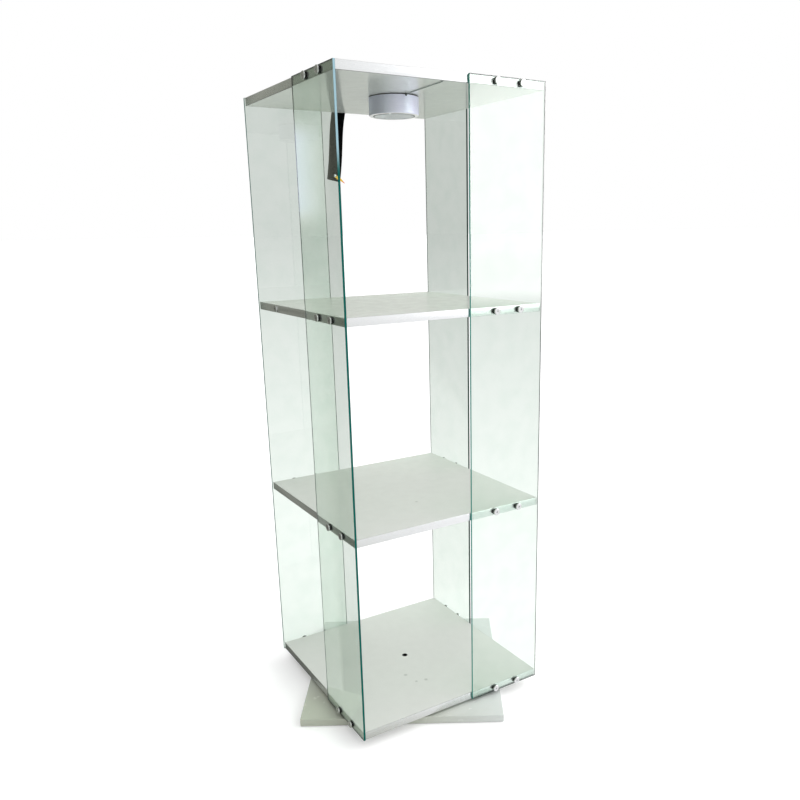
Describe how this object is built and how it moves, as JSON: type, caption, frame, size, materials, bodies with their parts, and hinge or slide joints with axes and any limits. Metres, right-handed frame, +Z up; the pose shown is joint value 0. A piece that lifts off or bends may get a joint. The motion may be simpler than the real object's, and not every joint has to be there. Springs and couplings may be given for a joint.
{
  "type": "revolving display cabinet",
  "caption": "Tall revolving display cabinet: square shelves bolted between glass panels set like a pinwheel, on a turntable above a square base board, with a lamp under the top.",
  "frame": {"origin": "on the axis of turning, on the floor under the middle of the base board", "axes": "+Z up, -Y the cabinet's front side at rest, +X its right side; the base board is turned from these"},
  "size_m": [0.8242, 0.8242, 1.782],
  "materials": {
    "base_lacquer": "satin grey lacquer on board",
    "glide_plastic": "matt",
    "bearing_steel": "turned",
    "zinc_steel": "zinc plated",
    "cage_plastic": "matt",
    "polished_steel": "polished",
    "shelf_lacquer": "satin silver-grey lacquer on board",
    "edging_aluminium": "brushed lengthwise",
    "clear_glass": "clear, faint green tint, ground edges",
    "cap_steel": "polished",
    "sleeve_plastic": "matt black",
    "insert_brass": "turned",
    "lamp_aluminium": "brushed round the drum",
    "lens_glass": "frosted",
    "gasket_rubber": "matt",
    "reflector_mirror": "dimpled",
    "holder_plastic": "matt",
    "bulb_glass": "frosted",
    "lead_plastic": "smooth",
    "strap_webbing": "woven, matt black",
    "rivet_steel": "plain",
    "tag_plastic": "matt yellow"
  },
  "bodies": {
    "base": {"base_board": "base_lacquer", "base_glides": "glide_plastic", "turntable_outer_ring": "bearing_steel", "outer_ring_screws": "zinc_steel"},
    "bearing_cage": {"ball_cage": "cage_plastic", "bearing_balls": "polished_steel"},
    "cabinet": {"back_glass_panel": "clear_glass", "back_panel_bolts": "cap_steel", "back_panel_inserts": "insert_brass", "back_panel_sleeves": "sleeve_plastic", "bottom_shelf_board": "shelf_lacquer", "bottom_shelf_edging": "edging_aluminium", "bulb_holder": "holder_plastic", "front_glass_panel": "clear_glass", "front_panel_bolts": "cap_steel", "front_panel_inserts": "insert_brass", "front_panel_sleeves": "sleeve_plastic", "hanging_strap": "strap_webbing", "hole_liner": "sleeve_plastic", "inner_ring_screws": "zinc_steel", "lamp_bulb": "bulb_glass", "lamp_housing": "lamp_aluminium", "lamp_lead": "lead_plastic", "lamp_lens": "lens_glass", "lamp_mounting_plate": "lamp_aluminium", "lamp_reflector": "reflector_mirror", "lamp_screws": "zinc_steel", "left_glass_panel": "clear_glass", "left_panel_bolts": "cap_steel", "left_panel_inserts": "insert_brass", "left_panel_sleeves": "sleeve_plastic", "lens_gasket": "gasket_rubber", "lower_shelf_board": "shelf_lacquer", "lower_shelf_edging": "edging_aluminium", "right_glass_panel": "clear_glass", "right_panel_bolts": "cap_steel", "right_panel_inserts": "insert_brass", "right_panel_sleeves": "sleeve_plastic", "spare_bolt": "cap_steel", "spare_insert": "insert_brass", "strap_rivet": "rivet_steel", "strap_screw": "zinc_steel", "strap_tag": "tag_plastic", "strap_washer": "zinc_steel", "top_board": "shelf_lacquer", "top_edging": "edging_aluminium", "turntable_inner_ring": "bearing_steel", "upper_shelf_board": "shelf_lacquer", "upper_shelf_edging": "edging_aluminium"}
  },
  "joints": [
    {"name": "cabinet_turn", "type": "hinge", "parent": "base", "child": "cabinet", "pos_m": [0, 0, 0.028], "axis": [0, 0, 1], "continuous": true},
    {"name": "cage_turn", "type": "hinge", "parent": "base", "child": "bearing_cage", "pos_m": [0, 0, 0.028], "axis": [0, 0, 1], "continuous": true}
  ],
  "couplings": [
    {"joint": "cage_turn", "follows": "cabinet_turn", "ratio": 0.49}
  ]
}
